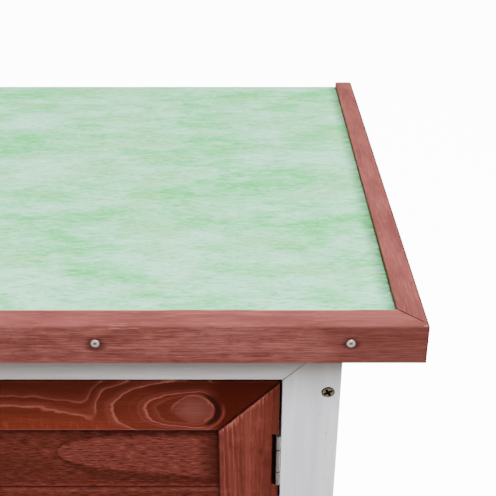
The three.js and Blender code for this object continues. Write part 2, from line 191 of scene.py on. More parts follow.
class Finish:
    """A material under construction: one shader, and one way to add any other node."""

    def __init__(self, name, **constants):
        self.material = bpy.data.materials.new(name)
        self.material.use_nodes = True
        self.nodes = self.material.node_tree.nodes
        self.shader = self.nodes["Principled BSDF"]
        for socket, value in constants.items():
            self.shader.inputs[socket.replace("_", " ")].default_value = value

    def node(self, kind, settings=None, inputs=None, output=0):
        """Adds a node of a type, with its settings and the values or links of its sockets."""
        node = self.nodes.new(kind)
        for name, value in (settings or {}).items():
            setattr(node, name, value)
        for name, value in (inputs or {}).items():
            join(node.inputs[name], value)
        return Field(node.outputs[output])

    def place(self):
        """Where a point of the surface is, in metres in the hutch's own frame."""
        return self.node("ShaderNodeTexCoord", output="Object")

    def parts(self, vector):
        node = self.nodes.new("ShaderNodeSeparateXYZ")
        join(node.inputs[0], vector)
        return [Field(socket) for socket in node.outputs]

    def vector(self, *parts):
        return self.node("ShaderNodeCombineXYZ", None, dict(enumerate(parts)))

    def noise(self, vector, scale, detail=2.0, rough=0.5, warp=0.0):
        """Noise from 0 to 1, with its own number of lumps in a metre along each axis."""
        stretched = self.node(
            "ShaderNodeVectorMath", {"operation": "MULTIPLY"}, {0: vector, 1: scale}
        )
        inputs = {
            "Vector": stretched,
            "Scale": 1.0,
            "Detail": detail,
            "Roughness": rough,
            "Distortion": warp,
        }
        return self.node("ShaderNodeTexNoise", {"normalize": True}, inputs)

    def step(self, value, low, high):
        """Rises smoothly from 0 at low to 1 at high."""
        inputs = {"Value": value, "From Min": low, "From Max": high}
        return self.node("ShaderNodeMapRange", {"interpolation_type": "SMOOTHSTEP"}, inputs)

    def ridge(self, value, centre, width):
        """1 where the value is at a centre, falling smoothly to 0 at a width from it."""
        return 1.0 - self.step(abs(value - centre), 0.0, width)

    def blend(self, factor, low, high):
        """A colour that goes from low to high as the factor goes from 0 to 1."""
        node = self.nodes.new("ShaderNodeMix")
        node.data_type = "RGBA"
        for index, value in ((0, factor), (6, low), (7, high)):
            join(node.inputs[index], value)
        return Field(node.outputs[2])

    def lay(self, base, colour, strength, field, start, full):
        """Lays a colour on a base, more and more as a field goes from start to full."""
        return self.blend(self.step(field, start, full) * strength, base, colour)

    def bump(self, height, depth):
        """Relief: a height from 0 to 1 stands for the depth in metres."""
        inputs = {"Height": height, "Distance": depth}
        self.wear(Normal=self.node("ShaderNodeBump", None, inputs))

    def wear(self, **fields):
        """Links fields to the shader's sockets of those names."""
        for socket, value in fields.items():
            join(self.shader.inputs[socket.replace("_", " ")], value)


def distance(first, second, third=0.0):
    """The length of a vector from its parts."""
    return (first * first + second * second + third * third).math("SQRT")


BOARD_SHIFT = 0.02


def laid(finish, lie, node, seed, boards=0.0):
    """Where a point is in a board: along it, across its face and through it.

    The lie names the axes in that order. With boards, a panel is cut into boards of that
    width from its top down, and each has its own place in the grain.
    """
    low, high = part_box(node)
    middle = (low + high) / 2
    parts = finish.parts(finish.place())
    if node.startswith("roof"):
        parts[2] = parts[2] + parts[1] * tan(ROOF_SLOPE)
    along, across, through = [parts["xyz".index(axis)] - middle["xyz".index(axis)] for axis in lie]
    if boards:
        row = (high.z - parts[2]) / boards
        number = row.math("FLOOR")
        shift = (number * 2.3 + seed).math("SINE") * BOARD_SHIFT
        across = (row - number - 0.5) * boards + shift
        along = along + number * 1.37
    return [along + seed * 1.7, across, through]


LOG_TAPER = 0.05
LOG_DRIFT = 0.035
RING_WOBBLE = 0.0025


def growth(finish, board, spacing, pith):
    """Growth rings of a sawn board: a value that rises by one from ring to ring."""
    along, across, through = board
    here = finish.vector(*board)
    drift = finish.noise(here, (2.4, 5.0, 5.0), detail=1.0) - 0.5
    wobble = finish.noise(here, (12.0, 50.0, 50.0), detail=2.0) - 0.5
    side = across - pith[0] + drift * LOG_DRIFT
    back = through - pith[1] + along * LOG_TAPER
    return (distance(side, back) + wobble * RING_WOBBLE) / spacing


def fibres(finish, board, coarse=260.0):
    """Fine streaks along the grain, from 0 to 1."""
    here = finish.vector(*board)
    broad = finish.noise(here, (9.0, coarse, coarse), detail=3.0, rough=0.6)
    fine = finish.noise(here, (26.0, coarse * 4, coarse * 4), detail=2.0, rough=0.6)
    return broad * 0.6 + fine * 0.4


PINE_RINGS = 0.0062
PINE_PITH = (0.01, -0.03)


def pine(node, lie, seed):
    """Bare planed pine: cream between the rings, honey brown along them."""
    finish = Finish(f"pine_{node}", Specular_IOR_Level=0.3)
    board = laid(finish, lie, node, seed)
    ring = growth(finish, board, PINE_RINGS, PINE_PITH).math("FRACT")
    streak = fibres(finish, board)
    late = finish.step(ring, 0.45, 0.92) - finish.step(ring, 0.92, 1.0)
    cloud = finish.noise(finish.vector(*board), (3.0, 14.0, 14.0))
    pale = finish.blend(cloud, tint(222, 190, 140), tint(206, 166, 112))
    wood = finish.blend(late * 0.5, pale, tint(166, 112, 62))
    wood = finish.lay(wood, tint(150, 104, 62), 0.35, streak, 0.45, 0.8)
    finish.wear(Base_Color=wood, Roughness=0.52 + streak * 0.2)
    finish.bump(streak * 0.7 + late * 0.3, 0.0004)
    return finish.material


SHARP_ANGLE = radians(35)


def finished(name, shape, body, slot, *materials, smooth=False):
    """Makes a piece of a mesh under construction, and has it ride on a body."""
    mesh = bpy.data.meshes.new(name)
    shape.to_mesh(mesh)
    shape.free()
    for material in materials:
        mesh.materials.append(material)
    if smooth:
        mesh.polygons.foreach_set("use_smooth", [True] * len(mesh.polygons))
        mesh.set_sharp_from_angle(angle=SHARP_ANGLE)
    piece = bpy.data.objects.new(name, mesh)
    bpy.context.collection.objects.link(piece)
    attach(piece, body)
    return piece


WELD = 1e-5
FLAT_ANGLE = radians(1)
ARRIS_ANGLE = radians(30)
MITRE_LEAN = 0.3
MITRE_EASE = 0.0002
SHORTEST_MITRE = 0.01


def eased(node, radius, slot, material):
    """A copy of a wooden solid with its arrises eased, shown in the solid's place.

    The edges of a mitre stay nearly sharp, because they are cut after the arrises are eased.
    """
    shape = bmesh.new()
    shape.from_mesh(frame["nodes"][node].data)
    bmesh.ops.remove_doubles(shape, verts=shape.verts, dist=WELD)
    bmesh.ops.dissolve_limit(
        shape, angle_limit=FLAT_ANGLE, verts=shape.verts, edges=shape.edges
    )
    for mitres, offset in ((False, radius), (True, MITRE_EASE)):
        arrises = []
        for edge in shape.edges:
            way = edge.verts[0].co - edge.verts[1].co
            leans = min(abs(way.x), max(abs(way.y), abs(way.z))) > MITRE_LEAN * way.length
            if edge.calc_face_angle(0.0) > ARRIS_ANGLE and leans == mitres:
                if not mitres or edge.calc_length() > SHORTEST_MITRE:
                    arrises.append(edge)
        bmesh.ops.bevel(
            shape, geom=arrises, offset=offset, affect="EDGES", segments=2,
            profile=0.5, material=-1, clamp_overlap=True,
        )
    piece = finished(f"{node}_wood", shape, BODY_OF[node], slot, material)
    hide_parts(node)


for seed, (node, lie) in enumerate((
    ("roof_board", "xyz"),
    ("roof_batten_front", "xyz"),
    ("roof_batten_back", "xyz"),
    ("roof_batten_right", "yxz"),
    ("roof_batten_left", "yxz"),
    ("roof_batten_middle", "yxz"),
)):
    eased(node, 0.0008, "bare_wood", pine(node, lie, seed))


# ---------------------------------------------------------------------------------------------
# Roof felt: a pale green coated felt glued to the board between the rims and turned down over
# its back edge. Its coating is mottled, with fine creases and fibres from side to side, and the
# seams along the side rims are darkened with painted shade.

felt_low, felt_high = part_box("roof_felt")
FELT_SEAM = 0.010

felt = Finish("roof_felt", Specular_IOR_Level=0.2)
x, y, z = felt.parts(felt.place())
here = felt.vector(x, y, z + y * tan(ROOF_SLOPE))
cloud = felt.noise(here, (11.0, 22.0, 22.0), detail=4.0, rough=0.62, warp=0.4)
patch = felt.noise(here, (34.0, 80.0, 80.0), detail=4.0, rough=0.62, warp=0.4)
streak = felt.noise(here, (120.0, 430.0, 430.0), detail=3.0, rough=0.7, warp=0.3)
crease = felt.noise(here, (230.0, 1000.0, 1000.0), detail=2.0, rough=0.6)
warm = felt.noise(felt.vector(x + 3.1, y, z), (18.0, 36.0, 36.0), detail=3.0)
green = felt.step(cloud * 0.55 + patch * 0.45, 0.38, 0.64)
base = felt.blend(green, tint(174, 243, 206), tint(78, 214, 112))
base = felt.lay(base, tint(150, 222, 146), 0.6, warm, 0.50, 0.68)
base = felt.lay(base, tint(74, 172, 96), 0.45, streak, 0.53, 0.68)
base = felt.lay(base, tint(186, 248, 216), 0.45, streak, 0.46, 0.32)
base = felt.lay(base, tint(202, 248, 224), 0.45, crease, 0.56, 0.70)
base = felt.lay(base, tint(82, 170, 104), 0.45, crease, 0.44, 0.32)
# Painted shade in the seams along the side rims, broken up by the streaks
seam_shade = felt.step(abs(x), felt_high.x - FELT_SEAM, felt_high.x)
seam_shade = seam_shade * (0.6 + felt.step(streak, 0.35, 0.65) * 0.4)
base = felt.blend(seam_shade * 0.85, base, tint(58, 102, 62))
felt.wear(Base_Color=base, Roughness=0.62 + crease * 0.3)
felt.bump(streak * 0.5 + crease * 0.5, 0.0012)

shape = bmesh.new()
shape.from_mesh(frame["nodes"]["roof_felt"].data)
bmesh.ops.remove_doubles(shape, verts=shape.verts, dist=WELD)
felt_piece = finished("roof_felt_sheet", shape, "roof", "roof_felt", felt.material)
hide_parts("roof_felt")


# ---------------------------------------------------------------------------------------------
# Rim: three sawn pine boards on edge, mitred at the front corners, wiped with a thin rose-brown
# stain that has missed the very corner. The saw has left the arris ragged, and the pale band along
# it is partly frayed fibres and partly a painted highlight.

RIM_NAILS = (0.0, 0.1206, 0.2667, 0.4128)
RIM_NAIL_Z = 0.6273
ROOF_FRONT = -0.2215
ROOF_TOP = 0.640
ROOF_HALF = 0.457
RIM_THICK = 0.016


def rim_stain(node, lie, seed):
    """The rim's stain, worn along its arrises, and paler on top than in front, partly as painted
    light and shade.
    """
    finish = Finish(f"{node}_stain", Specular_IOR_Level=0.15)
    board = laid(finish, lie, node, seed)
    here = finish.vector(*board)
    x, y, z = finish.parts(finish.place())
    reach = abs(x)
    drop = ROOF_TOP - z - (y - ROOF_FRONT) * tan(ROOF_SLOPE)
    side = finish.step(drop, 0.0006, 0.0030)
    blotch = finish.noise(here, (16.0, 60.0, 60.0), detail=3.0)
    streak = fibres(finish, board, 200.0)
    hair = finish.noise(here, (70.0, 900.0, 900.0), detail=2.0, rough=0.6)
    brush = finish.noise(here, (13.0, 300.0, 300.0), detail=2.0, rough=0.5)
    mottle = finish.noise(here, (110.0, 330.0, 330.0), detail=3.0, rough=0.65)

    # The top and the front take a paler and a darker copy of the stain: partly painted light and
    # shade
    top = finish.blend(finish.step(blotch, 0.35, 0.7), tint(138, 77, 73), tint(114, 63, 59))
    top = finish.lay(top, tint(98, 55, 51), 0.6, streak, 0.50, 0.72)
    top = finish.lay(top, tint(164, 98, 91), 0.45, hair, 0.54, 0.70)
    top = finish.lay(top, tint(98, 54, 50), 0.45, hair, 0.46, 0.32)
    front = finish.blend(finish.step(blotch, 0.4, 0.65), tint(126, 74, 69), tint(110, 61, 55))
    front = finish.lay(front, tint(156, 92, 87), 0.40, brush, 0.52, 0.66)
    front = finish.lay(front, tint(88, 45, 40), 0.40, streak, 0.52, 0.72)
    front = finish.lay(front, tint(150, 86, 78), 0.45, mottle, 0.53, 0.68)
    front = finish.lay(front, tint(88, 44, 41), 0.45, mottle, 0.46, 0.33)
    front = finish.lay(front, tint(156, 92, 84), 0.35, hair, 0.56, 0.70)
    front = finish.lay(front, tint(82, 42, 38), 0.40, hair, 0.45, 0.32)
    if node == "roof_rim_front":
        # The front board is darker towards each end
        darker_ends = finish.step(reach + (blotch - 0.5) * 0.03, 0.390, 0.406)
        front = finish.blend(darker_ends * 0.6, front, tint(94, 49, 43))
        for nail in RIM_NAILS:
            ring = distance((reach - nail) * 0.8, z - RIM_NAIL_Z)
            bruise = 1.0 - finish.step(ring + (streak - 0.5) * 0.012, 0.0026, 0.0058)
            front = finish.blend(bruise * 0.75, front, tint(58, 27, 25))
    base = finish.blend(side, top, front)

    # Pale patches just under the top arris: frayed fibres, and partly a painted highlight
    ragged = finish.ridge(drop, 0.0024, 0.0020) * finish.step(hair, 0.50, 0.60)
    ragged = ragged * finish.step(brush, 0.50, 0.62)
    base = finish.blend(ragged * 0.6, base, tint(182, 118, 108))
    # A cream strip along the front board's inner top edge: a painted highlight, given the colour of
    # bare wood
    if node == "roof_rim_front":
        inner = ROOF_FRONT + RIM_THICK
        bare = finish.step(y, inner - 0.0012, inner - 0.0003) * (1.0 - side)
        base = finish.blend(bare * finish.step(blotch, 0.3, 0.5), base, tint(214, 200, 160))
    outer = finish.step(reach, ROOF_HALF - 0.0022, ROOF_HALF - 0.0004)
    base = finish.blend(outer * 0.5, base, tint(84, 40, 38))

    joint = abs(ROOF_HALF - reach - (y - ROOF_FRONT)) + finish.step(drop, 0.001, 0.002)
    open_part = finish.step(y, ROOF_FRONT + 0.0025, ROOF_FRONT + 0.005)
    crack = (1.0 - finish.step(joint, 0.0002, 0.0007)) * open_part
    base = finish.blend(crack * 0.9, base, tint(40, 18, 16))
    corner = distance((reach - ROOF_HALF + 0.002) * 0.4, (y - ROOF_FRONT) * 1.6, drop - 0.0004)
    missed = 1.0 - finish.step(corner + (hair - 0.5) * 0.002, 0.0004, 0.0010)
    base = finish.blend(missed * 0.85, base, tint(226, 202, 160))
    finish.wear(Base_Color=base, Roughness=0.62 + hair * 0.2)
    finish.bump(streak * 0.5 + hair * 0.5 - crack, 0.0009)
    return finish.material


for node, lie, seed in (
    ("roof_rim_front", "xzy", 3.0),
    ("roof_rim_right", "yzx", 4.0),
    ("roof_rim_left", "yzx", 5.0),
):
    eased(node, 0.0006, "rim_stain", rim_stain(node, lie, seed))


# ---------------------------------------------------------------------------------------------
# Rim nails: bright clout nails driven flush through the rim into the battens, seven along the
# front and three on each side. Each flat head has the dimple of its making in the middle.


def plated(name, colour, rough, lump=60.0, metal=1.0, marks=None):
    """Plated steel, faintly cloudy and scratched. Marks adds further marks, such as painted shade,
    given the plain colour.
    """
    finish = Finish(name, Metallic=metal)
    here = finish.place()
    cloud = finish.noise(here, (lump, lump, lump), detail=3.0)
    scratch = finish.noise(here, (900.0, 900.0, 160.0), detail=2.0)
    dull = tuple(value * 0.72 for value in colour[:3]) + (1.0,)
    base = finish.blend(finish.step(cloud, 0.35, 0.75), colour, dull)
    if marks:
        base = marks(finish, base)
    finish.wear(Base_Color=base, Roughness=rough + scratch * 0.2)
    finish.bump(scratch, 0.00008)
    return finish.material


def facing(place, way, spin=0.0):
    """A seat at a place: its Z axis points the given way, and it is spun about that."""
    turn = Vector(way).to_track_quat("Z", "Y").to_matrix().to_4x4()
    return Matrix.Translation(place) @ turn @ Matrix.Rotation(spin, 4, "Z")


def turned(shape, profile, seat, shade_radius):
    """Adds a turned piece: a profile of radii and heights, spun about a seat's Z axis.

    What lies nearer the axis than the shade radius, in front, takes the second material, which
    paints shade there.
    """
    ring = [shape.verts.new(seat @ Vector((radius, 0.0, height))) for radius, height in profile]
    line = [shape.edges.new(pair) for pair in zip(ring, ring[1:])]
    bmesh.ops.spin(
        shape, geom=ring + line, cent=seat.translation, axis=seat.col[2].xyz, angle=2 * pi,
        steps=20, use_merge=True,
    )
    inwards = seat.inverted()
    for face in shape.faces:
        middle = inwards @ face.calc_center_median()
        if middle.xy.length < shade_radius and middle.z > 0:
            face.material_index = 1


def closed(shape):
    """Welds what touches, and points every face outwards."""
    bmesh.ops.remove_doubles(shape, verts=shape.verts, dist=2e-6)
    bmesh.ops.recalc_face_normals(shape, faces=shape.faces)
    return shape


NAIL_DIMPLE = 0.0009
SIDE_NAILS = (-0.17, 0.0, 0.17)
NAIL_HEAD = [
    (radius / 1000, height / 1000)
    for radius, height in (
        (0.0, 0.10), (0.65, 0.12), (0.95, 0.66), (1.3, 0.80), (2.1, 0.68), (2.5, 0.36),
        (2.5, 0.0), (1.2, -0.5), (0.0, -0.6),
    )
]
bright_steel = plated("bright_nail", tint(222, 208, 200), 0.25, metal=0.5)
# The nail heads' dimples are painted darker: painted shade in the hollow
dimple_shade_steel = plated("nail_dimple", tint(128, 110, 104), 0.5, metal=0.5)
nail_y = ROOF_FRONT - (ROOF_TOP - RIM_NAIL_Z) * tan(ROOF_SLOPE)
shape = bmesh.new()
for place in RIM_NAILS:
    for x in {place, -place}:
        seat = facing((x, nail_y, RIM_NAIL_Z), (0, -1, tan(ROOF_SLOPE)))
        turned(shape, NAIL_HEAD, seat, shade_radius=NAIL_DIMPLE)
for x in (-ROOF_HALF, ROOF_HALF):
    for y in SIDE_NAILS:
        z = RIM_NAIL_Z - (y - ROOF_FRONT) * tan(ROOF_SLOPE)
        turned(shape, NAIL_HEAD, facing((x, y, z), (x, 0, 0)), shade_radius=NAIL_DIMPLE)
finished(
    "rim_nails", closed(shape), "roof", "galvanised", bright_steel, dimple_shade_steel, smooth=True,
)


# ---------------------------------------------------------------------------------------------
# Face frame, posts and rails: planed pine, painted white with a brush along each member. The
# paint fills the mitres but for a hair line and shows the grain as faint ridges. High up, under
# the roof, the white is painted a little warmer and paler: painted warm light.

FRAME_TOP = 0.61
FRAME_SIDE = 0.413
MEMBER = 0.0372
WARM_LIGHT_FROM = 0.560
WARM_LIGHT_TO = 0.590


def white_paint(node, lie, seed):
    """White paint, brushed along a member, and painted a little warmer high up under the roof as
    painted warm light.
    """
    finish = Finish(f"{node}_paint", Specular_IOR_Level=0.3)
    board = laid(finish, lie, node, seed)
    here = finish.vector(*board)
    brush = finish.noise(here, (7.0, 420.0, 420.0), detail=3.0, rough=0.6)
    swell = finish.noise(here, (6.0, 70.0, 70.0), detail=2.0)
    speck = finish.noise(here, (260.0, 420.0, 420.0), detail=1.0)
    hollow = finish.step(speck, 0.72, 0.80)
    x, _, z = finish.parts(finish.place())
    # Painted warm light: a warmer, paler white high up under the roof
    painted_warm_light = finish.step(z, WARM_LIGHT_FROM, WARM_LIGHT_TO)
    pale = finish.blend(painted_warm_light, tint(242, 242, 247), tint(253, 249, 243))
    dull = finish.blend(painted_warm_light, tint(220, 220, 226), tint(241, 231, 223))
    base = finish.blend(finish.step(swell, 0.3, 0.7), pale, dull)
    base = finish.lay(base, tint(202, 200, 200), 0.4, brush, 0.55, 0.78)
    base = finish.blend(hollow * 0.45, base, tint(170, 164, 158))
    if node in ("front_top_rail", "front_stile_right", "front_stile_left"):
        inwards = FRAME_SIDE - abs(x)
        down = FRAME_TOP - z
        line = abs(inwards - down * (MEMBER / (MEMBER - 0.0013)))
        thick = finish.step(inwards, 0.012, MEMBER) * 0.0007 + 0.00005
        crack = (1.0 - finish.step(line, thick * 0.4, thick)) * finish.step(inwards, 0.006, 0.03)
        base = finish.blend(crack * 0.75, base, tint(120, 112, 106))
    finish.wear(Base_Color=base, Roughness=0.40 + brush * 0.2)
    finish.bump(brush * 0.5 + swell * 0.3 - hollow * 0.6, 0.0005)
    return finish.material


for seed, (node, lie) in enumerate((
    ("front_stile_right", "zxy"),
    ("front_stile_left", "zxy"),
    ("front_middle_stile", "zxy"),
    ("front_top_rail", "xzy"),
    ("front_middle_rail", "xzy"),
    ("front_bottom_rail", "xzy"),
    ("back_top_rail", "xzy"),
    ("back_bottom_rail", "xzy"),
    *((f"{side}_{end}_post", "zyx") for side in ("right", "left") for end in ("front", "back")),
    *((f"{side}_{end}_rail", "yzx") for side in ("right", "left") for end in ("top", "bottom")),
)):
    eased(node, 0.0009, "white_paint", white_paint(node, lie, seed))


# ---------------------------------------------------------------------------------------------
# Frame screws: yellow zinc countersunk screws with a cross slot, driven through the face frame
# into the front posts, through the posts into the rails, and through the back rails.


def cross_head(shape, seat, radius):
    """Adds a countersunk screw's head with a cross slot sunk in it.

    The slot and the seam round the head take the piece's second material, a painted shade.
    """
    arm = radius * 0.68
    half = radius * 0.21
    slot_depth = radius * 0.13
    proud = radius * 0.16
    flat = radius * 0.84
    corners = [(arm, half), (half, half), (half, arm)]
    outline = []
    for quarter in range(4):
        turn = Matrix.Rotation(quarter * pi / 2, 4, "Z")
        outline += [seat @ turn @ Vector((x, y, proud)) for x, y in corners]
    slot = [shape.verts.new(point) for point in outline]
    slot_edges = [shape.edges.new((slot[i], slot[(i + 1) % 12])) for i in range(12)]
    rim = bmesh.ops.create_circle(
        shape, cap_ends=False, segments=24, radius=flat,
        matrix=seat @ Matrix.Translation((0, 0, proud)),
    )["verts"]
    rim_edges = list({edge for vertex in rim for edge in vertex.link_edges})
    bmesh.ops.bridge_loops(shape, edges=slot_edges + rim_edges)

    wall = bmesh.ops.extrude_edge_only(shape, edges=slot_edges)["geom"]
    floor = [item for item in wall if isinstance(item, bmesh.types.BMVert)]
    bmesh.ops.translate(shape, verts=floor, vec=seat.col[2].xyz * -slot_depth)
    bmesh.ops.scale(shape, verts=floor, vec=(0.86, 0.86, 1.0), space=seat.inverted())
    base = [item for item in wall if isinstance(item, bmesh.types.BMEdge)]
    base = [edge for edge in base if all(vertex in floor for vertex in edge.verts)]
    dark = [item for item in wall if isinstance(item, bmesh.types.BMFace)]
    dark += bmesh.ops.edgenet_fill(shape, edges=base)["faces"]

    # The head's rounded edge, then the countersunk cone under it, both dark with painted shade
    for grow, fall in ((1.19, -0.13), (0.55, -0.50)):
        skirt = bmesh.ops.extrude_edge_only(shape, edges=rim_edges)["geom"]
        edge_ring = [item for item in skirt if isinstance(item, bmesh.types.BMVert)]
        bmesh.ops.scale(shape, verts=edge_ring, vec=(grow, grow, 1.0), space=seat.inverted())
        bmesh.ops.translate(shape, verts=edge_ring, vec=seat.col[2].xyz * radius * fall)
        dark += [item for item in skirt if isinstance(item, bmesh.types.BMFace)]
        rim_edges = [item for item in skirt if isinstance(item, bmesh.types.BMEdge)]
        rim_edges = [edge for edge in rim_edges if all(v in edge_ring for v in edge.verts)]
    bmesh.ops.edgenet_fill(shape, edges=rim_edges)
    for face in dark:
        face.material_index = 1


SCREW_X = 0.4049
SCREW_HEAD = 0.0043
FRONT_SCREWS = (0.5644, 0.405, 0.255, 0.168)
BACK_SCREWS = (0.565, 0.169)
SIDE_SCREWS = (0.560, 0.169)
draw = Random(7)
yellow_zinc = plated("yellow_zinc", tint(214, 202, 158), 0.34)
# Painted shade: near black in the screws' slots and round their heads
painted_slot_shade = Finish("painted_slot_shade", Roughness=0.8, Specular_IOR_Level=0.05)
shade_mottle = painted_slot_shade.noise(painted_slot_shade.place(), (700.0, 700.0, 700.0))
painted_slot_shade.wear(Base_Color=painted_slot_shade.blend(shade_mottle, tint(8, 7, 6), tint(30, 25, 19)))
shape = bmesh.new()
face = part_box("front_stile_right")[0].y
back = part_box("right_back_post")[1].y
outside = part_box("right_front_post")[1].x
side_middle = (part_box("right_front_post")[0].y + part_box("right_front_post")[1].y) / 2
back_middle = (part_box("right_back_post")[0].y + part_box("right_back_post")[1].y) / 2
for side in (1, -1):
    places = [((side * SCREW_X, face, z), (0, -1, 0)) for z in FRONT_SCREWS]
    places += [((side * SCREW_X, back, z), (0, 1, 0)) for z in BACK_SCREWS]
    for y in (side_middle, back_middle):
        places += [((side * outside, y, z), (side, 0, 0)) for z in SIDE_SCREWS]
    for place, way in places:
        cross_head(shape, facing(place, way, draw.uniform(0.0, pi / 2)), SCREW_HEAD)
finished(
    "frame_screws", closed(shape), "cabinet", "zinc_brass", yellow_zinc, painted_slot_shade.material,
    smooth=True,
)


# ---------------------------------------------------------------------------------------------
# Side and back boards: grooved pine boards with a deep red-brown stain under a thin sheen. The
# stain lies dark in the open grain, and the hard rings take less of it and show as pale lines.

BOARD = 0.065
STAIN = tint(99, 46, 36)
STAIN_DARK = tint(72, 31, 22)
STAIN_STREAK = tint(126, 64, 52)
STAIN_LINE = tint(150, 82, 68)
STAIN_RINGS = 0.008
ACROSS_PITH = (0.012, -0.03)
UPRIGHT_PITH = (0.03, -0.004)


def red_stain(node, lie, seed, boards=0.0, pith=ACROSS_PITH, figure=None):
    """Stained pine. A figure adds the marks of one board: its colour, given the plain one."""
    finish = Finish(f"{node}_stain", Specular_IOR_Level=0.09)
    board = laid(finish, lie, node, seed, boards)
    here = finish.vector(*board)
    turn = growth(finish, board, STAIN_RINGS, pith).math("FRACT")
    clear = finish.noise(here, (5.0, 30.0, 30.0), detail=1.0)
    line = finish.step(turn, 0.80, 0.93) - finish.step(turn, 0.93, 1.0)
    line = line * finish.step(clear, 0.38, 0.62)
    streak = fibres(finish, board)
    cloud = finish.noise(here, (6.0, 34.0, 34.0), detail=2.0)
    base = finish.blend(finish.step(cloud, 0.3, 0.72), STAIN_DARK, STAIN)
    base = finish.lay(base, STAIN_STREAK, 0.45, streak, 0.47, 0.72)
    base = finish.lay(base, STAIN_DARK, 0.5, streak, 0.47, 0.30)
    grit = finish.noise(here, (240.0, 1500.0, 1500.0), detail=2.0, rough=0.6)
    base = finish.lay(base, STAIN_STREAK, 0.35, grit, 0.54, 0.68)
    base = finish.lay(base, STAIN_DARK, 0.45, grit, 0.46, 0.32)
    if figure:
        base = figure(finish, base, streak)
    else:
        faint = line * (0.10 + finish.step(streak, 0.44, 0.64) * 0.30)
        base = finish.blend(faint, base, STAIN_LINE)
    finish.wear(Base_Color=base, Roughness=0.46 + streak * 0.25)
    finish.bump(streak * 0.6 + grit * 0.4 + line * 0.2, 0.0008)
    return finish.material


for seed, (node, lie) in enumerate((
    ("right_side_boards", "yzx"),
    ("left_side_boards", "yzx"),
    ("back_boards", "xzy"),
)):
    eased(node, 0.0005, "red_brown_stain", red_stain(node, lie, seed + 6.0, BOARD))


# ---------------------------------------------------------------------------------------------
# Doors: four mitred members each, stained like the boards, and tongued boards in the right one.
# The right door's top rail has a knot by its hinge, with the grain parting to the left of it.

HINGE_HEIGHTS = [
    (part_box(f"right_door_hinge_{level}_frame_leaf")[0].z
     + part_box(f"right_door_hinge_{level}_frame_leaf")[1].z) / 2
    for level in ("upper", "lower")
]
NOTCH_X = 0.3703
NOTCH_HALF = 0.0226
KNOT_X = 0.3183
KNOT_Z = 0.5490
KNOT_HALF_WIDTH = 0.0136
KNOT_HALF_HEIGHT = 0.0124
EYE_X = 0.3215
FAR_X = 0.2361
FAR_Z = 0.5467
FAR_SLOPE = 0.148
DOOR_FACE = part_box("right_door_right_stile")[0].y
MITRE_TOP = Vector((0.3741, 0.0, 0.5726))
DOOR_STILE = 0.0398
DOOR_RAIL = 0.0415
MITRE_SLOPE = DOOR_STILE / DOOR_RAIL


def mitre_shade(finish, base, x, z, soft):
    """Darkens the last hair of both members at the upper right mitre, and lifts torn fibres."""
    low = finish.step(z, 0.566, 0.548)
    wander = (soft - 0.5) * low * 0.004
    off = (MITRE_TOP.x - x) - (MITRE_TOP.z - z) * MITRE_SLOPE + wander
    joint = 1.0 - finish.step(abs(off), 0.0004, 0.0016)
    torn = finish.ridge(off, -0.0022, 0.0024) * finish.step(soft, 0.42, 0.56)
    frayed = finish.ridge(off, -0.0045, 0.0035) * finish.step(soft, 0.52, 0.62) * low
    base = finish.blend(frayed * 0.85, base, tint(162, 92, 80))
    base = finish.blend(torn * (0.25 + low * 0.65), base, tint(168, 94, 82))
    return finish.blend(joint * 0.9, base, tint(30, 12, 10))


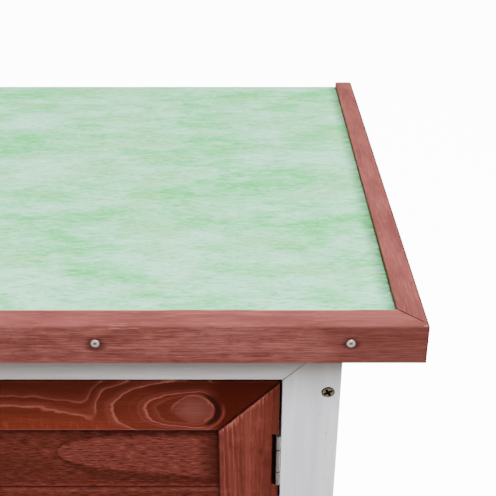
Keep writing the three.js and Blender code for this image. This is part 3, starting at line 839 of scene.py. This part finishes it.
def knotty_rail(finish, base, streak):
    """The right door's top rail: rings round a knot, pale where the stain took less."""
    x, _, z = finish.parts(finish.place())
    flat = finish.vector(x, 0.0, z)
    wave = (finish.noise(flat, (34.0, 1.0, 70.0), detail=2.0) - 0.5) * 0.0050
    small = (finish.noise(flat, (150.0, 1.0, 260.0), detail=2.0) - 0.5) * 0.0013
    left = (x - EYE_X).math("MINIMUM", 0.0) * 0.45
    right = (x - EYE_X).math("MAXIMUM", 0.0) * 1.15
    rise = z - KNOT_Z
    parted = distance(left + right, rise)
    level = (z - FAR_Z + (x - FAR_X) * FAR_SLOPE) * 0.45 + 0.031
    far = finish.step(x, 0.262, 0.243)
    field = parted + (level - parted) * far + wave + small

    base = finish.blend(0.6, base, tint(96, 40, 27))
    bands = finish.noise(finish.vector(field, 0.0, 0.0), (420.0, 1.0, 1.0), detail=2.0)
    base = finish.lay(base, tint(114, 51, 38), 0.4, bands, 0.48, 0.70)
    base = finish.lay(base, tint(70, 28, 17), 0.45, bands, 0.48, 0.28)
    upper = finish.step(z, 0.552, 0.569) * finish.step(x, 0.300, 0.255)
    base = finish.blend(upper * 0.6, base, tint(68, 27, 17))
    over = finish.step(z, 0.560, 0.569) * finish.step(x, 0.285, 0.300)
    base = finish.blend(over * 0.6, base, tint(68, 27, 17))
    lower = finish.step(z, 0.549, 0.536) * finish.step(x, 0.300, 0.250)
    base = finish.blend(lower * 0.55, base, tint(118, 51, 36))
    hair = finish.noise(flat, (1100.0, 1.0, 70.0), detail=2.0)
    base = finish.blend(lower * finish.step(hair, 0.55, 0.7) * 0.4, base, tint(140, 70, 60))
    shade = finish.step(x, 0.3265, 0.3380)
    base = finish.blend(shade * 0.88, base, tint(66, 21, 11))

    # The pale rings: where each lies in the field, its width, its strength and where it shows
    left_part = far.math("MAXIMUM", finish.step(rise, -0.006, 0.001))
    for place, width, strength, where in (
        (0.0125, 0.0006, 0.20, 1.0 - far),
        (0.0155, 0.0007, 0.60, 1.0 - far),
        (0.0176, 0.0006, 0.15, 1.0 - far),
        (0.0252, 0.0007, 0.60, 1.0 - far),
        (0.0310, 0.0007, 0.50, left_part),
        (0.0358, 0.0007, 0.30, left_part),
    ):
        glow = finish.step(field, place + 0.0030, place) * finish.step(field, place - 0.0004, place)
        mark = (finish.ridge(field, place, width) + glow * 0.3) * where
        mark = mark * (1.0 - finish.step(x, 0.326, 0.334))
        base = finish.blend(mark * strength, base, tint(156, 87, 78))

    # The knot itself, pointed to the left, with a torn crescent on its right
    taper = finish.step(x, KNOT_X, 0.3050) * 0.35 + 1.0
    from_knot = distance((x - KNOT_X) / KNOT_HALF_WIDTH, rise * taper / KNOT_HALF_HEIGHT)
    round_knot = from_knot + (wave + small) * 24.0
    inside = 1.0 - finish.step(round_knot, 0.80, 1.04)
    bud = finish.step(round_knot, 0.2, 0.9)
    heart = finish.blend(bud, tint(116, 66, 58), tint(106, 54, 47))
    heart = finish.lay(heart, tint(130, 76, 70), 0.5, streak, 0.45, 0.7)
    base = finish.blend(inside * 0.85, base, heart)
    upper_edge = finish.ridge(round_knot, 1.0, 0.11) * finish.step(rise, -0.004, 0.006)
    base = finish.blend(upper_edge * 0.55, base, tint(148, 84, 76))
    bud_edge = finish.ridge(round_knot, 0.94, 0.16) * finish.step(x, 0.322, 0.329)
    base = finish.blend(bud_edge * finish.step(hair, 0.4, 0.6) * 0.6, base, tint(152, 92, 82))
    crescent = finish.step(round_knot, 1.00, 1.10) - finish.step(round_knot, 1.20, 1.46)
    crescent = crescent * finish.step(x, 0.3225, 0.3300)
    base = finish.blend(crescent * 0.9, base, tint(44, 15, 12))
    rim = finish.ridge(round_knot, 1.46, 0.13) * finish.step(x, 0.322, 0.330)
    rim = rim * finish.step(z, 0.556, 0.547)
    base = finish.blend(rim * 0.5, base, tint(140, 70, 60))
    # A pale line along the rail's lower arris: a painted highlight
    lower_arris_highlight = finish.step(z, 0.5335, 0.5318) * finish.step(x, 0.334, 0.326)
    base = finish.blend(lower_arris_highlight * 0.4, base, tint(140, 78, 70))
    return mitre_shade(finish, base, x, z, hair)


def hinge_stile(finish, base, streak):
    """The right door's hinge stile: upright streaks, and painted shade in the hinges' notches."""
    x, y, z = finish.parts(finish.place())
    flat = finish.vector(x, 0.0, z)
    bend = (finish.noise(flat, (20.0, 1.0, 14.0), detail=2.0) - 0.5) * 0.005
    fine = finish.noise(flat, (900.0, 1.0, 40.0), detail=3.0, rough=0.6)
    broad = finish.noise(finish.vector(x + bend, 0.0, z), (330.0, 1.0, 5.0), detail=2.0)
    base = finish.blend(0.75, base, tint(110, 54, 45))
    base = finish.lay(base, tint(80, 36, 30), 0.6, broad, 0.50, 0.30)
    base = finish.lay(base, tint(126, 64, 56), 0.5, broad, 0.52, 0.68)
    # The pale streaks: where each lies across the stile, its width and its strength
    for place, width, strength in (
        (0.3376, 0.0017, 0.60),
        (0.3412, 0.0008, 0.30),
        (0.3447, 0.0014, 0.60),
        (0.3502, 0.0008, 0.25),
        (0.3553, 0.0012, 0.35),
        (0.3640, 0.0012, 0.20),
    ):
        mark = finish.ridge(x + bend, place, width) * finish.step(fine, 0.35, 0.6)
        base = finish.blend(mark * strength, base, tint(158, 90, 80))
    base = finish.lay(base, tint(138, 76, 68), 0.35, fine, 0.56, 0.72)
    base = finish.lay(base, tint(70, 30, 25), 0.35, fine, 0.44, 0.30)
    ripple = finish.noise(flat, (110.0, 1.0, 75.0), detail=3.0, rough=0.6)
    base = finish.lay(base, tint(82, 35, 29), 0.45, ripple, 0.54, 0.68)
    base = finish.lay(base, tint(142, 78, 68), 0.25, ripple, 0.45, 0.33)
    pin_knot = distance((x - 0.362) / 0.0020, (z - 0.512) / 0.0040) + (fine - 0.5) * 0.8
    base = finish.blend((1.0 - finish.step(pin_knot, 0.5, 1.3)) * 0.4, base, tint(66, 29, 24))
    flame = finish.ridge(x + bend, 0.3535, 0.0048) * finish.step(z, 0.5535, 0.5400)
    base = finish.blend(flame * 0.45, base, tint(132, 70, 60))
    side = finish.step(x, 0.366, 0.3735)
    base = finish.blend(side * 0.45, base, tint(80, 34, 27))
    # Painted shade: near black inside each hinge's notch
    for height in HINGE_HEIGHTS:
        notch = finish.step(x, NOTCH_X - 0.0007, NOTCH_X)
        sunk = finish.step(y, DOOR_FACE + 0.0003, DOOR_FACE + 0.0008)
        off_end = finish.step(abs(z - height) - sunk * 0.001, NOTCH_HALF, NOTCH_HALF + 0.0007)
        notch = notch * (1.0 - off_end)
        base = finish.blend(notch * 0.95, base, tint(14, 7, 6))
    return mitre_shade(finish, base, x, z, fine)


TONGUE_TIP = Vector((0.2253, 0.0, 0.5063))
TONGUE_HALF = 0.0205
TONGUE_LENGTH = 0.041
TONGUE_FALL = 0.045
GROOVE_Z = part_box("right_door_panel")[1].z - BOARD


def tongue_panel(finish, base, streak):
    """One board's flat-sawn grain: a pale tongue that points left, with a dark edge."""
    x, _, z = finish.parts(finish.place())
    flat = finish.vector(x, 0.0, z)
    dash = finish.noise(flat, (140.0, 1.0, 850.0), detail=3.0, rough=0.65)
    ragged = (finish.noise(flat, (60.0, 1.0, 300.0), detail=2.0) - 0.5) * 0.005
    run = (x - TONGUE_TIP.x + ragged).math("MAXIMUM", 0.00001)
    half = (run / TONGUE_LENGTH).math("SQRT").math("TANH") * TONGUE_HALF
    middle = TONGUE_TIP.z - run * TONGUE_FALL
    off = abs(z - middle) / half + ragged * 14.0
    board = finish.step(z, GROOVE_Z, GROOVE_Z + 0.0012)
    tongue = (1.0 - finish.step(off, 0.86, 1.06)) * board * finish.step(x, 0.336, 0.316)
    edge = (finish.step(off, 0.98, 1.10) - finish.step(off, 1.15, 2.1)) * board
    edge = edge * finish.step(x, 0.2100, 0.2262)
    base = finish.blend(board * 0.6, base, tint(90, 43, 34))
    base = finish.blend(edge * 0.55, base, tint(64, 27, 21))
    base = finish.blend(tongue * 0.85, base, tint(110, 55, 48))
    light_dash = finish.step(dash, 0.52, 0.64) * (0.34 + tongue * 0.38)
    base = finish.blend(light_dash, base, tint(136, 74, 65))
    base = finish.lay(base, tint(50, 20, 15), 0.75, dash, 0.48, 0.36)
    shade = finish.step(z, 0.5235, 0.5295)
    base = finish.blend(shade * 0.6, base, tint(52, 21, 16))
    right = finish.step(x, 0.318, 0.333) * board
    base = finish.blend(right * 0.6, base, tint(60, 24, 19))
    red = finish.ridge(z, GROOVE_Z + 0.0040, 0.0018) * finish.step(dash, 0.35, 0.55)
    base = finish.blend(red * 0.5, base, tint(134, 58, 52))
    return finish.blend(finish.ridge(z, GROOVE_Z, 0.0030) * 0.75, base, tint(66, 27, 21))


FIGURES = {
    "right_door_top_rail": knotty_rail,
    "right_door_right_stile": hinge_stile,
    "right_door_panel": tongue_panel,
}
seed = 20.0
for side in ("right", "left"):
    for part, lie in (
        ("top_rail", "xzy"),
        ("bottom_rail", "xzy"),
        ("right_stile", "zxy"),
        ("left_stile", "zxy"),
    ):
        node = f"{side}_door_{part}"
        pith = ACROSS_PITH if lie == "xzy" else UPRIGHT_PITH
        material = red_stain(node, lie, seed, pith=pith, figure=FIGURES.get(node))
        eased(node, 0.0007, "red_brown_stain", material)
        seed += 1.0
node = "right_door_panel"
material = red_stain(node, "xzy", 10.0, BOARD, figure=FIGURES[node])
eased(node, 0.0004, "red_brown_stain", material)


# ---------------------------------------------------------------------------------------------
# Wire mesh of the left door: galvanised wires welded in inch squares, upright ones in front,
# stapled to the back of the door's members. The weld sinks each pair of wires together.

WIRE = 0.0007
WELD_SINK = WIRE * 0.3
MESH_PITCH = 0.0254


def wire(shape, start, end, radius, sides=8):
    """Adds a straight round wire between two points."""
    way = Vector(end) - Vector(start)
    seat = facing((Vector(start) + Vector(end)) / 2, way)
    bmesh.ops.create_cone(
        shape, cap_ends=True, segments=sides, radius1=radius, radius2=radius,
        depth=way.length, matrix=seat,
    )


mesh_low, mesh_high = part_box("left_door_mesh")
mesh_middle = (mesh_low + mesh_high) / 2
columns = int((mesh_high.x - mesh_low.x) / MESH_PITCH)
rows = int((mesh_high.z - mesh_low.z) / MESH_PITCH)
uprights = [mesh_middle.x + (i - columns / 2) * MESH_PITCH for i in range(columns + 1)]
levels = [mesh_middle.z + (i - rows / 2) * MESH_PITCH for i in range(rows + 1)]
upright_y, level_y = mesh_middle.y - WELD_SINK, mesh_middle.y + WELD_SINK
galvanised = plated("galvanised", tint(190, 194, 196), 0.34, lump=90.0)
shape = bmesh.new()
for x in uprights:
    wire(shape, (x, upright_y, mesh_low.z), (x, upright_y, mesh_high.z), WIRE)
for z in levels:
    wire(shape, (mesh_low.x, level_y, z), (mesh_high.x, level_y, z), WIRE)
mesh_piece = finished("left_door_wire", shape, "left_door", "galvanised", galvanised, smooth=True)
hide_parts("left_door_mesh")

STAPLE_PROUD = 0.0023
STAPLE_REACH = 0.0045
STAPLE_LEG = 0.006
STAPLE_INSET = 0.006
STAPLE_WIRE = WIRE * 0.8
shape = bmesh.new()
crown_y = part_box("left_door_top_rail")[1].y + STAPLE_PROUD
bottom, top = levels[0] + STAPLE_INSET, levels[-1] - STAPLE_INSET
left, right = uprights[0] + STAPLE_INSET, uprights[-1] - STAPLE_INSET
staples = [(x, z, 0) for x in uprights[1::3] for z in (bottom, top)]
staples += [(x, z, 1) for z in levels[1::3] for x in (left, right)]
for x, z, level in staples:
    reach = Vector((0, 0, STAPLE_REACH)) if level else Vector((STAPLE_REACH, 0, 0))
    crown = Vector((x, crown_y, z))
    wire(shape, crown - reach, crown + reach, STAPLE_WIRE, 6)
    for end in (crown - reach, crown + reach):
        start = end + Vector((0, STAPLE_WIRE, 0))
        wire(shape, start, end - Vector((0, STAPLE_LEG, 0)), STAPLE_WIRE, 6)
finished("mesh_staples", shape, "left_door", "galvanised", galvanised, smooth=True)


# ---------------------------------------------------------------------------------------------
# Hinges: pressed and nickel-plated butt hinges, with a fast pin. Small countersunk screws hold
# the leaves, two to a leaf, in the door's notch, on the stile's edge and at the back.

KNUCKLE_HALF = 0.010


def knuckle_gaps(finish, base):
    """Painted shade, black in the gaps between the door hinges' knuckles."""
    _, _, z = finish.parts(finish.place())
    for height in HINGE_HEIGHTS:
        gap = finish.ridge(abs(z - height), KNUCKLE_HALF, 0.0007)
        base = finish.blend(gap * 0.95, base, tint(26, 22, 20))
    return base


def bare(node, material):
    """Gives its material to a solid that is shown as it is."""
    materials = frame["nodes"][node].data.materials
    materials.clear()
    materials.append(material)


nickel = plated("hinge_nickel", tint(236, 228, 216), 0.2, marks=knuckle_gaps)
for node in frame["nodes"]:
    if "hinge" in node:
        bare(node, nickel)

LEAF_SCREW = 0.0019
LEAF_SCREW_SPREAD = 0.013
LEAF_SCREW_BACK = 0.002
FRAME_LEAF_FACE = 0.0010
DOOR_LEAF_FACE = 0.0028
shapes = {body: bmesh.new() for body in ("cabinet", "right_door", "left_door", "roof")}
for side, sign in (("right", 1), ("left", -1)):
    for level in ("upper", "lower"):
        low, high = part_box(f"{side}_door_hinge_{level}_frame_leaf")
        outer = high.x if sign > 0 else low.x
        middle = (low.z + high.z) / 2
        y = (low.y + high.y) / 2 + LEAF_SCREW_BACK
        for z in (middle - LEAF_SCREW_SPREAD, middle + LEAF_SCREW_SPREAD):
            frame_seat = facing((outer - sign * FRAME_LEAF_FACE, y, z), (-sign, 0, 0))
            door_seat = facing((outer - sign * DOOR_LEAF_FACE, y, z), (sign, 0, 0))
            cross_head(shapes["cabinet"], frame_seat, LEAF_SCREW)
            cross_head(shapes[f"{side}_door"], door_seat, LEAF_SCREW)

ROOF_LEAF_SCREW = 0.0022
ROOF_KNUCKLE = 0.0026
ROOF_LEAF_FACE = 0.0014
ROOF_LEAF_REACH = 0.0105
ROOF_SCREW_INSET = 0.010
along_roof = Vector((0, cos(ROOF_SLOPE), -sin(ROOF_SLOPE)))
off_roof = Vector((0, sin(ROOF_SLOPE), cos(ROOF_SLOPE)))
for side in ("right", "left"):
    low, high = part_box(f"roof_hinge_{side}_rail_leaf")
    for x in (low.x + ROOF_SCREW_INSET, high.x - ROOF_SCREW_INSET):
        pin = Vector((x, high.y - ROOF_KNUCKLE, high.z - ROOF_KNUCKLE))
        on_rail = pin - Vector((0, ROOF_LEAF_FACE, ROOF_LEAF_REACH))
        on_roof = pin + along_roof * ROOF_LEAF_REACH + off_roof * ROOF_LEAF_FACE
        cross_head(shapes["cabinet"], facing(on_rail, (0, 1, 0)), ROOF_LEAF_SCREW)
        cross_head(shapes["roof"], facing(on_roof, -off_roof), ROOF_LEAF_SCREW)
for body, shape in shapes.items():
    finished(
        f"{body}_hinge_screws", closed(shape), body, "hinge_metal", nickel, painted_slot_shade.material,
        smooth=True,
    )


# ---------------------------------------------------------------------------------------------
# Inside: the floor board, the tray's runners and the divider with its doorway. All are planed
# pine, left bare.

for seed, (node, lie) in enumerate((
    ("floor_board", "xyz"),
    ("tray_runner_right", "yzx"),
    ("tray_runner_left", "yzx"),
    ("divider", "yzx"),
)):
    eased(node, 0.0006, "bare_wood", pine(node, lie, seed + 11.0))


# ---------------------------------------------------------------------------------------------
# Tray: a folded pan of galvanised sheet behind a stained front board with a turned pine knob. It
# slides on the two runners and pulls out to the front.

bare("tray_pan", galvanised)
bare("tray_knob", pine("tray_knob", "yzx", 16.0))
eased("tray_front", 0.0009, "red_brown_stain", red_stain("tray_front", "xzy", 31.0))


# ---------------------------------------------------------------------------------------------
# Turn-button: a stained slip of wood on a yellow zinc screw, in the middle of the face frame. It
# turns about the screw, and lies over both doors when it is level.

eased("turn_button", 0.0012, "red_brown_stain", red_stain("turn_button", "zxy", 32.0))
bare("turn_button_screw", yellow_zinc)
